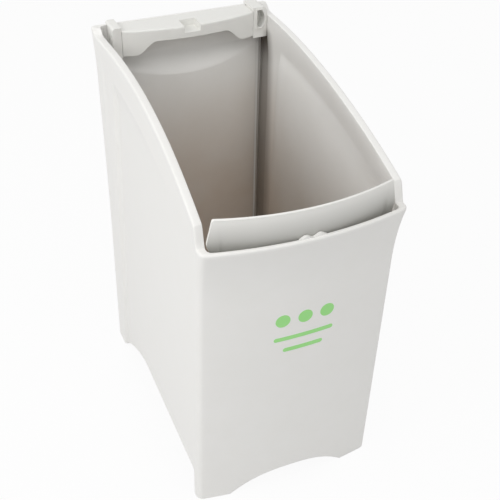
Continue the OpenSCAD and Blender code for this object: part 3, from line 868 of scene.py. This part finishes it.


def make_plastic(name, tone, finish, groups):
    """One moulding's plastic, a little greyer than the setting by its tone."""
    grain, wear, painted_shade = groups
    plastic = [c * t for c, t in zip(finish.plastic, tone)]
    _, tree, shader = new_material(name)
    moulded = place_group(tree, grain, Grain_Size=finish.grain, Unevenness=0.35)
    worn = place_group(tree, wear, Amount=finish.wear)
    patches = tree.spread(moulded["Patches"], 0.3, 0.7)
    colour_now = tree.blend(patches, tinted(plastic, (0.985, 0.985, 0.98)), opaque(plastic))
    rim = bpy.context.scene.bin_tub.side_height
    shaded_inside = place_group(tree, painted_shade, Half_Width=SHADE_SIDE, Back=SHADE_BACK, Rim=rim)
    # Dust on what faces up is real; the two layers after it are painted shade inside the tub and
    # in its posts' corners.
    for amount, most, tint in (
        (worn["Dust"], 0.16, tinted(plastic, (0.78, 0.76, 0.72))),
        (shaded_inside["Settled"], finish.use, opaque(finish.painted_shade)),
        (shaded_inside["Corners"], 0.95, opaque(PAINTED_CORNER_SHADE)),
    ):
        colour_now = tree.blend(tree.product(amount, most), colour_now, tint)
    smoothest, roughest = finish.plastic_roughness - 0.03, finish.plastic_roughness + 0.04
    rough = tree.spread(patches, 0.0, 1.0, smoothest, roughest)
    rough = tree.sums("MULTIPLY_ADD", worn["Rubbed"], -0.10, rough)
    rough = tree.sums("MULTIPLY_ADD", worn["Dust"], 0.22, rough, clamp=True)
    tree.dress(shader, colour_now, rough, moulded["Height"], finish.grain_depth, 0.0002)
    shader.inputs["IOR"].default_value = 1.49


def paint_flap_shade(flap, finish):
    """Paints shade on the flap's front face, greying it towards the rim."""
    tree = Tree(flap.node_tree)
    into = flap.node_tree.nodes["Principled BSDF"].inputs["Base Color"]
    colour_now = into.links[0].from_socket
    height = tree.axes(tree.place())[2]
    forward = tree.spread(tree.axes(tree.normal())[1], -0.2, -0.7)
    lower = tree.spread(height, FLAP_TOP - FLAP_SHADE_START, FLAP_TOP - FLAP_SHADE_FULL, kind="LINEAR")
    flap_shade_share = tree.product(forward, lower, finish.flap_shade)
    tree.feed(into, tree.blend(flap_shade_share, colour_now, tinted(finish.plastic, (0.38, 0.38, 0.36))))


def make_steel(finish, grain):
    """Zinc-plated steel of the screws and pins."""
    _, tree, shader = new_material(STEEL)
    plated = place_group(tree, grain, Grain_Size=0.0006, Unevenness=0.2)
    patches = plated["Patches"]
    bluish = tinted(finish.steel, (0.86, 0.87, 0.90))
    colour_now = tree.blend(tree.spread(patches, 0.35, 0.65), bluish, opaque(finish.steel))
    shader.inputs["Metallic"].default_value = 1.0
    rough = tree.spread(patches, 0.2, 0.8, 0.26, 0.42)
    tree.dress(shader, colour_now, rough, plated["Height"], 0.15, 0.00008)


def make_ink(finish, grain, wear):
    """The printed mark's ink, thin in places."""
    _, tree, shader = new_material(INK)
    printed = place_group(tree, grain, Grain_Size=0.0007, Unevenness=0.2)
    rubbed = place_group(tree, wear, Amount=finish.wear)["Rubbed"]
    patches = printed["Patches"]
    thin = tree.sums("MULTIPLY_ADD", rubbed, 0.5, tree.spread(patches, 0.3, 0.75, 0.0, 0.25))
    colour_now = tree.blend(thin, opaque(finish.ink), tinted(finish.ink, (1.35, 1.1, 1.5)))
    rough = tree.spread(patches, 0.2, 0.8, 0.34, 0.46)
    tree.dress(shader, colour_now, rough, printed["Height"], 0.12, 0.0001)


def make_materials(finish):
    """All the bin's materials."""
    grain, wear, painted_shade = grain_group(), wear_group(), painted_shade_group()
    for name, tone in PLASTICS.items():
        make_plastic(name, tone, finish, (grain, wear, painted_shade))
    paint_flap_shade(bpy.data.materials[FLAP_PLASTIC], finish)
    make_steel(finish, grain)
    make_ink(finish, grain, wear)


def material(name):
    """One of the bin's materials, which are all made the first time."""
    if PLASTIC not in bpy.data.materials:
        make_materials(bpy.context.scene.bin_finish)
    return bpy.data.materials[name]


PLASTIC = "white moulded plastic"
HINGE_PLASTIC = "hinge moulding plastic"
FLAP_PLASTIC = "flap moulding plastic"
PLASTICS = {
    PLASTIC: (1.0, 1.0, 1.0),
    HINGE_PLASTIC: (0.96, 0.965, 0.955),
    FLAP_PLASTIC: (1.0, 1.0, 0.99),
}
STEEL = "zinc-plated steel"
INK = "printed ink"


# ---- Fixed places ----

SCREW_ROWS = {"rail_screws": 0.060, "block_screws": 0.1165}  # distance from the middle
SCREW_HEIGHT = 0.606
SCREW_RADIUS = 0.002
SCREW_LENGTH = 0.016
HEAD_RADIUS = 0.004
HEAD_HEIGHT = 0.0024
HEAD_SINK = HEAD_HEIGHT + 0.0013  # depth of the head's seat below the rear face
SLOT_LENGTH = 0.0046  # the cross in each head
SLOT_WIDTH = 0.0008
SLOT_DEPTH = 0.0015
SLOT_TAPER = 0.55
POINT_RADIUS = 0.0012  # the screws' blunt points
POINT_LENGTH = 0.002
# the head's dome, as shares of its height and radius
HEAD_DOME = ((0.45, 1.0), (0.80, 0.90), (0.95, 0.68), (1.0, 0.35), (1.0, 0.0))
SHANK_GAP = 0.00025  # room round a shank in its hole
HEAD_GAP = 0.0003  # and round a head in its seat
CUT_MARGIN = 0.001  # how far a cutting shape stands out, and a boss reaches past its pin
HINGE_Y = 0.014
HINGE_Z = 0.468
PIN_RADIUS = 0.0025
BOSS_FACE = 0.131
BOSS_RADIUS = 0.006
BOSS_EDGE = 0.0005
PIN_END = 0.143
PIN_START = 0.115
PIN_EDGE = 0.0004
FLAP_TOP = 0.538
# The flap's painted shade starts and is full this far below its top.
FLAP_SHADE_START = 0.003  # below the flap's top
FLAP_SHADE_FULL = 0.043
NUB_X = 0.0103
NUB_HALF = 0.0095
NUB_RISE = 0.0036
NUB_LENGTH = 0.0032
NUB_POWER = 0.7  # below 1, the humps are broader than a wave
NUB_ROOT = 0.002  # how far they start inside the rim
NUB_TOP = 0.0008  # depth of their outline below the rim beside the humps
NUB_LOW = 0.0024  # depth of its lower side there
NUB_DIP = 0.0020  # and how much deeper that is under the humps
NUB_MIDDLE = 0.0016  # depth of the level that their faces draw in to
NUB_ROUND = 0.0008  # length of their rounded faces
NUB_FACE = ((0.0004, 0.94), (0.0003, 0.82), (0.0001, 0.6))  # steps and shares of the height
NUB_DRAW_IN = 0.02  # how far they narrow as they draw in, as a share
RULES = ((1.0, 0.092), (1.65, 0.062))  # drop below the dots, in rule drops, and length
RULE_WIDTH = 0.0075
LONG_EDGE = 0.008  # longer edges of the print are divided
MARK_SHIFT = 0.004  # to the right of the middle
INK_GAP = 0.00003
INK_THICKNESS = 0.00018
CAMERA_PLACE = (-0.46884, -1.08885, 1.16391)
CAMERA_TURN = (-22.767, 34.800, 0.318)  # heading, elevation and roll in degrees
CAMERA_LENS = 66.08
CAMERA_SHIFT = (0.0363, -0.0267)


# ---- Operators ----


class BIN_OT_stage(bpy.types.Operator):
    """Lay the pale floor, hang the lamps and set the camera"""

    bl_idname = "bin.stage"
    bl_label = "Stage"

    def execute(self, context):
        stage = context.scene.bin_stage
        self.lay_floor(context, stage)
        self.light_world(context, stage)
        self.hang_lamps(context, stage)
        self.set_camera(context)
        context.scene.view_settings.view_transform = "Standard"
        return {"FINISHED"}

    @staticmethod
    def seen_directly(tree):
        """1 for rays from the camera, a mirror or glass, else 0."""
        path = tree.add("ShaderNodeLightPath")
        seen = tree.sums("ADD", path.outputs["Is Camera Ray"], path.outputs["Is Glossy Ray"])
        return tree.sums("ADD", seen, path.outputs["Is Transmission Ray"], clamp=True)

    def lay_floor(self, context, stage):
        bm = bmesh.new()
        bmesh.ops.create_circle(bm, cap_ends=True, radius=6.0, segments=96)
        studio, tree, shader = new_material("studio floor")
        shader.inputs["Base Color"].default_value = opaque(stage.floor)
        shader.inputs["Roughness"].default_value = 0.85
        shader.inputs["Specular IOR Level"].default_value = 0.1
        glow = tree.add("ShaderNodeEmission", Strength=1.0)
        white = tree.product(self.seen_directly(tree), stage.floor_glow)
        mix = tree.add("ShaderNodeMixShader")
        for socket, value in zip(mix.inputs, (white, shader.outputs[0], glow.outputs[0])):
            tree.feed(socket, value)
        tree.feed(studio.node_tree.nodes["Material Output"].inputs["Surface"], mix.outputs[0])
        new_piece("studio_floor", bm, studio)

    def light_world(self, context, stage):
        world = bpy.data.worlds.new("even studio light")
        context.scene.world = world
        world.use_nodes = True
        tree = Tree(world.node_tree)
        background = world.node_tree.nodes["Background"]
        background.inputs["Color"].default_value = (1.0, 1.0, 1.0, 1.0)
        strength = tree.spread(self.seen_directly(tree), 0.0, 1.0, stage.world, 1.0)
        tree.feed(background.inputs["Strength"], strength)

    def hang_lamps(self, context, stage):
        aim = Vector((0.0, 0.0, 0.35))
        for name, place, across, power in (
            ("key_lamp", (-2.3, -0.4, 1.9), 1.6, stage.key),
            ("front_lamp", (-1.2, -2.3, 1.6), 1.4, stage.front),
            ("top_lamp", (-0.3, -1.0, 2.6), 1.6, stage.top),
        ):
            lamp = bpy.data.lights.new(name, "AREA")
            lamp.shape = "DISK"
            lamp.size = across
            lamp.energy = power
            holder = bpy.data.objects.new(name, lamp)
            holder.location = place
            holder.rotation_euler = (aim - holder.location).to_track_quat("-Z", "Y").to_euler()
            context.collection.objects.link(holder)

    def set_camera(self, context):
        heading, elevation, roll = (math.radians(a) for a in CAMERA_TURN)
        camera = bpy.data.cameras.new("camera")
        camera.sensor_width = 36.0
        camera.lens = CAMERA_LENS
        camera.shift_x, camera.shift_y = CAMERA_SHIFT
        holder = bpy.data.objects.new("camera", camera)
        turn = (
            Matrix.Rotation(heading, 4, "Z")
            @ Matrix.Rotation(math.pi / 2 - elevation, 4, "X")
            @ Matrix.Rotation(roll, 4, "Z")
        )
        holder.matrix_world = Matrix.Translation(CAMERA_PLACE) @ turn
        context.collection.objects.link(holder)
        context.scene.camera = holder


class BIN_OT_tub(bpy.types.Operator):
    """Draw out the moulded tub, with its stop nubs, pin bosses and screw holes"""

    bl_idname = "bin.tub"
    bl_label = "Tub"

    def execute(self, context):
        sizes = context.scene.bin_tub
        tub = new_piece("moulded_tub", draw_out_tub(sizes), material(PLASTIC))
        combine(tub, self.nubs_and_bosses(sizes), "UNION")
        combine(tub, self.holes(sizes), "DIFFERENCE")
        belongs(tub, BIN, PLASTIC_SLOT, "bin_body")
        return {"FINISHED"}

    def nubs_and_bosses(self, sizes):
        bm = bmesh.new()
        self.draw_out_nubs(bm, sizes)
        for hand in (1, -1):
            face = at_centre(sizes, hand * BOSS_FACE, HINGE_Y, HINGE_Z)
            boss = rounded_rod(PIN_END + CUT_MARGIN - BOSS_FACE, BOSS_RADIUS, BOSS_EDGE)
            turned(bm, boss, face, (hand, 0, 0))
        return bm

    def draw_out_nubs(self, bm, sizes):
        """Two humps side by side on the front rim's inner edge, with soft faces."""
        rim_inside = sizes.end_rim - sizes.front_lip - sizes.rim_bow
        end = NUB_X + NUB_HALF
        places = [lerp(-end, end, t) for t in steps(64)]

        def hump(x):
            away = min(1.0, abs(abs(x) - NUB_X) / NUB_HALF)
            return (0.5 + 0.5 * math.cos(math.pi * away)) ** NUB_POWER

        top = [(x, -NUB_TOP + (NUB_RISE + NUB_TOP) * hump(x)) for x in places]
        low = [(x, -NUB_LOW - NUB_DIP * hump(x)) for x in reversed(places)]
        outline = [
            bm.verts.new(at_centre(sizes, x, rim_inside - NUB_ROOT, sizes.front_height + z))
            for x, z in top + low
        ]
        face = bm.faces.new(outline)
        middle = sizes.front_height - NUB_MIDDLE
        last = 1.0
        for step, squeeze in ((NUB_ROOT + NUB_LENGTH - NUB_ROUND, 1.0), *NUB_FACE):
            face = only(bmesh.types.BMFace, bmesh.ops.extrude_face_region(bm, geom=[face]))[0]
            for v in face.verts:
                v.co.y += step
                v.co.z = middle + (v.co.z - middle) * squeeze / last
                v.co.x *= 1 - NUB_DRAW_IN * (last - squeeze)
            last = squeeze
        bmesh.ops.recalc_face_normals(bm, faces=bm.faces[:])

    def holes(self, sizes):
        bm = bmesh.new()
        seat = sizes.depth - HEAD_SINK
        through = 2 * sizes.end_rim - HEAD_SINK
        reach = HEAD_SINK + CUT_MARGIN
        shank, head = SCREW_RADIUS + SHANK_GAP, HEAD_RADIUS + HEAD_GAP
        way = [(-through, 0.0), (-through, shank), (0.0, shank)]
        way += [(0.0, head), (reach, head), (reach, 0.0)]
        length = PIN_END - BOSS_FACE + CUT_MARGIN
        pin_bore = [(0.0, 0.0), (0.0, PIN_RADIUS), (length, PIN_RADIUS), (length, 0.0)]
        for hand in (1, -1):
            for x in SCREW_ROWS.values():
                turned(bm, way, at_centre(sizes, hand * x, seat, SCREW_HEIGHT), (0, 1, 0))
            mouth = at_centre(sizes, hand * (BOSS_FACE - CUT_MARGIN), HINGE_Y, HINGE_Z)
            turned(bm, pin_bore, mouth, (hand, 0, 0))
        return bm


class BIN_OT_hinge_rail(bpy.types.Operator):
    """Make the hinge rail that closes the back of the rim"""

    bl_idname = "bin.hinge_rail"
    bl_label = "Hinge Rail"

    def execute(self, context):
        smooth_copy("hinge_rail", "hinge_rail_cover", HINGE_PLASTIC, BIN, edge=0.0008)
        return {"FINISHED"}


class BIN_OT_hinge_blocks(bpy.types.Operator):
    """Make the open left and the closed right hinge block"""

    bl_idname = "bin.hinge_blocks"
    bl_label = "Hinge Blocks"

    def execute(self, context):
        for hand in ("left", "right"):
            node = "hinge_block_" + hand
            smooth_copy(node, f"{hand}_hinge_block", HINGE_PLASTIC, BIN, edge=0.0008)
        return {"FINISHED"}


class BIN_OT_sack_flap(bpy.types.Operator):
    """Make the curved flap that traps the sack behind the front rim"""

    bl_idname = "bin.sack_flap"
    bl_label = "Sack Flap"

    def execute(self, context):
        smooth_copy("sack_flap", "swinging_sack_flap", FLAP_PLASTIC, FLAP, edge=0.0006)
        return {"FINISHED"}


class BIN_OT_fixings(bpy.types.Operator):
    """Turn the screws of the rail and blocks and the pins of the flap"""

    bl_idname = "bin.fixings"
    bl_label = "Screws and Pins"

    def execute(self, context):
        sizes = context.scene.bin_tub
        for node, x in SCREW_ROWS.items():
            self.make_screws(sizes, node, x)
        for hand, side in (("left", -1), ("right", 1)):
            bm = bmesh.new()
            start = at_centre(sizes, side * PIN_START, HINGE_Y, HINGE_Z)
            rod = rounded_rod(PIN_END - PIN_START, PIN_RADIUS, PIN_EDGE)
            turned(bm, rod, start, (side, 0, 0))
            pin = new_piece(f"{hand}_flap_pin", bm, material(STEEL))
            belongs(pin, BIN, STEEL_SLOT, "flap_pin_" + hand)
        return {"FINISHED"}

    def make_screws(self, sizes, node, x):
        bm = bmesh.new()
        seat = sizes.depth - HEAD_SINK
        profile = [
            (-SCREW_LENGTH, 0.0),
            (-SCREW_LENGTH, POINT_RADIUS),
            (-SCREW_LENGTH + POINT_LENGTH, SCREW_RADIUS),
            (0.0, SCREW_RADIUS),
            (0.0, HEAD_RADIUS),
        ]
        profile += [(up * HEAD_HEIGHT, out * HEAD_RADIUS) for up, out in HEAD_DOME]
        centres = [at_centre(sizes, hand * x, seat, SCREW_HEIGHT) for hand in (1, -1)]
        for centre in centres:
            turned(bm, profile, centre, (0, 1, 0))
        screws = new_piece(node.replace("_screws", "_fixing_screws"), bm, material(STEEL))
        # one slot of the cross at a time, because a cutting mesh that crosses itself cuts all away
        for across, along in ((SLOT_LENGTH, SLOT_WIDTH), (SLOT_WIDTH, SLOT_LENGTH)):
            combine(screws, self.slots(centres, across, along), "DIFFERENCE")
        belongs(screws, BIN, STEEL_SLOT, node)

    def slots(self, centres, across, along):
        """One slot in the top of each head, narrower towards its floor."""
        bm = bmesh.new()
        for centre in centres:
            place = Matrix.Translation(centre + Vector((0, HEAD_HEIGHT, 0)))
            shape = Matrix.Diagonal((across, 2 * SLOT_DEPTH, along, 1.0))
            for v in bmesh.ops.create_cube(bm, size=1.0, matrix=place @ shape)["verts"]:
                if v.co.y < centre.y + HEAD_HEIGHT:
                    v.co.x = lerp(centre.x, v.co.x, SLOT_TAPER)
                    v.co.z = lerp(centre.z, v.co.z, SLOT_TAPER)
        return bm


class BIN_OT_front_mark(bpy.types.Operator):
    """Print the plain mark of dots and rules on the front wall"""

    bl_idname = "bin.front_mark"
    bl_label = "Front Mark"

    def execute(self, context):
        sizes, mark = context.scene.bin_tub, context.scene.bin_mark
        tub = Tub(sizes)
        bm = bmesh.new()
        for n in (-1, 0, 1):
            place = Matrix.Translation((n * mark.dot_pitch, mark.height, 0))
            bmesh.ops.create_circle(
                bm, cap_ends=True, segments=48, radius=mark.dot_radius, matrix=place
            )
        for drops, length in RULES:
            self.rule(bm, mark.height - drops * mark.rule_drop, length, RULE_WIDTH)
        bmesh.ops.triangulate(bm, faces=bm.faces[:])
        long_edges = [e for e in bm.edges if e.calc_length() > LONG_EDGE]
        bmesh.ops.subdivide_edges(bm, edges=long_edges, cuts=3, use_grid_fill=True)
        self.lay_on_wall(bm, tub)
        skin = only(bmesh.types.BMVert, bmesh.ops.extrude_face_region(bm, geom=bm.faces[:]))
        bmesh.ops.translate(bm, vec=(0, -INK_THICKNESS, 0), verts=skin)
        bmesh.ops.recalc_face_normals(bm, faces=bm.faces[:])
        belongs(new_piece("printed_front_mark", bm, material(INK)), BIN, PLASTIC_SLOT)
        return {"FINISHED"}

    def rule(self, bm, height, length, width):
        """A bar with round ends, in the plane of the print."""
        ends = bmesh.ops.create_circle(bm, segments=32, radius=width / 2)["verts"]
        for v in ends:
            v.co += Vector((math.copysign((length - width) / 2, v.co.x + 1e-9), height, 0))
        bmesh.ops.contextual_create(bm, geom=ends)

    def lay_on_wall(self, bm, tub):
        """Moves the print from its own plane on to the front wall."""
        for v in bm.verts:
            x, z = v.co.x + MARK_SHIFT, v.co.y
            v.co = at_centre(tub.s, x, tub.front_y(x, z) + INK_GAP, z)


class BIN_PT_build(bpy.types.Panel):
    """Lists the pieces and their settings in the sidebar"""

    bl_label = "Slim Recycling Bin"
    bl_idname = "BIN_PT_build"
    bl_space_type = "VIEW_3D"
    bl_region_type = "UI"
    bl_category = "Bin"

    def draw(self, context):
        scene = context.scene
        for operator in BUILD_ORDER:
            self.layout.operator(operator.bl_idname)
        for title, group in (
            ("Tub", scene.bin_tub),
            ("Finish", scene.bin_finish),
            ("Mark", scene.bin_mark),
            ("Stage", scene.bin_stage),
        ):
            box = self.layout.box()
            box.label(text=title)
            for key in type(group).__annotations__:
                box.prop(group, key)


BUILD_ORDER = (
    BIN_OT_stage,
    BIN_OT_tub,
    BIN_OT_hinge_rail,
    BIN_OT_hinge_blocks,
    BIN_OT_sack_flap,
    BIN_OT_fixings,
    BIN_OT_front_mark,
)
SETTINGS = {
    "bin_tub": TubSizes,
    "bin_finish": FinishSettings,
    "bin_mark": MarkSettings,
    "bin_stage": StageSettings,
}
CLASSES = (*SETTINGS.values(), *BUILD_ORDER, BIN_PT_build)


def register():
    for cls in CLASSES:
        bpy.utils.register_class(cls)
    for name, group in SETTINGS.items():
        setattr(bpy.types.Scene, name, bpy.props.PointerProperty(type=group))


def unregister():
    for name in SETTINGS:
        delattr(bpy.types.Scene, name)
    for cls in reversed(CLASSES):
        bpy.utils.unregister_class(cls)


def main():
    """Registers the add-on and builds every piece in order."""
    register()
    for operator in BUILD_ORDER:
        space, name = operator.bl_idname.split(".")
        getattr(getattr(bpy.ops, space), name)()


if __name__ == "__main__":
    main()
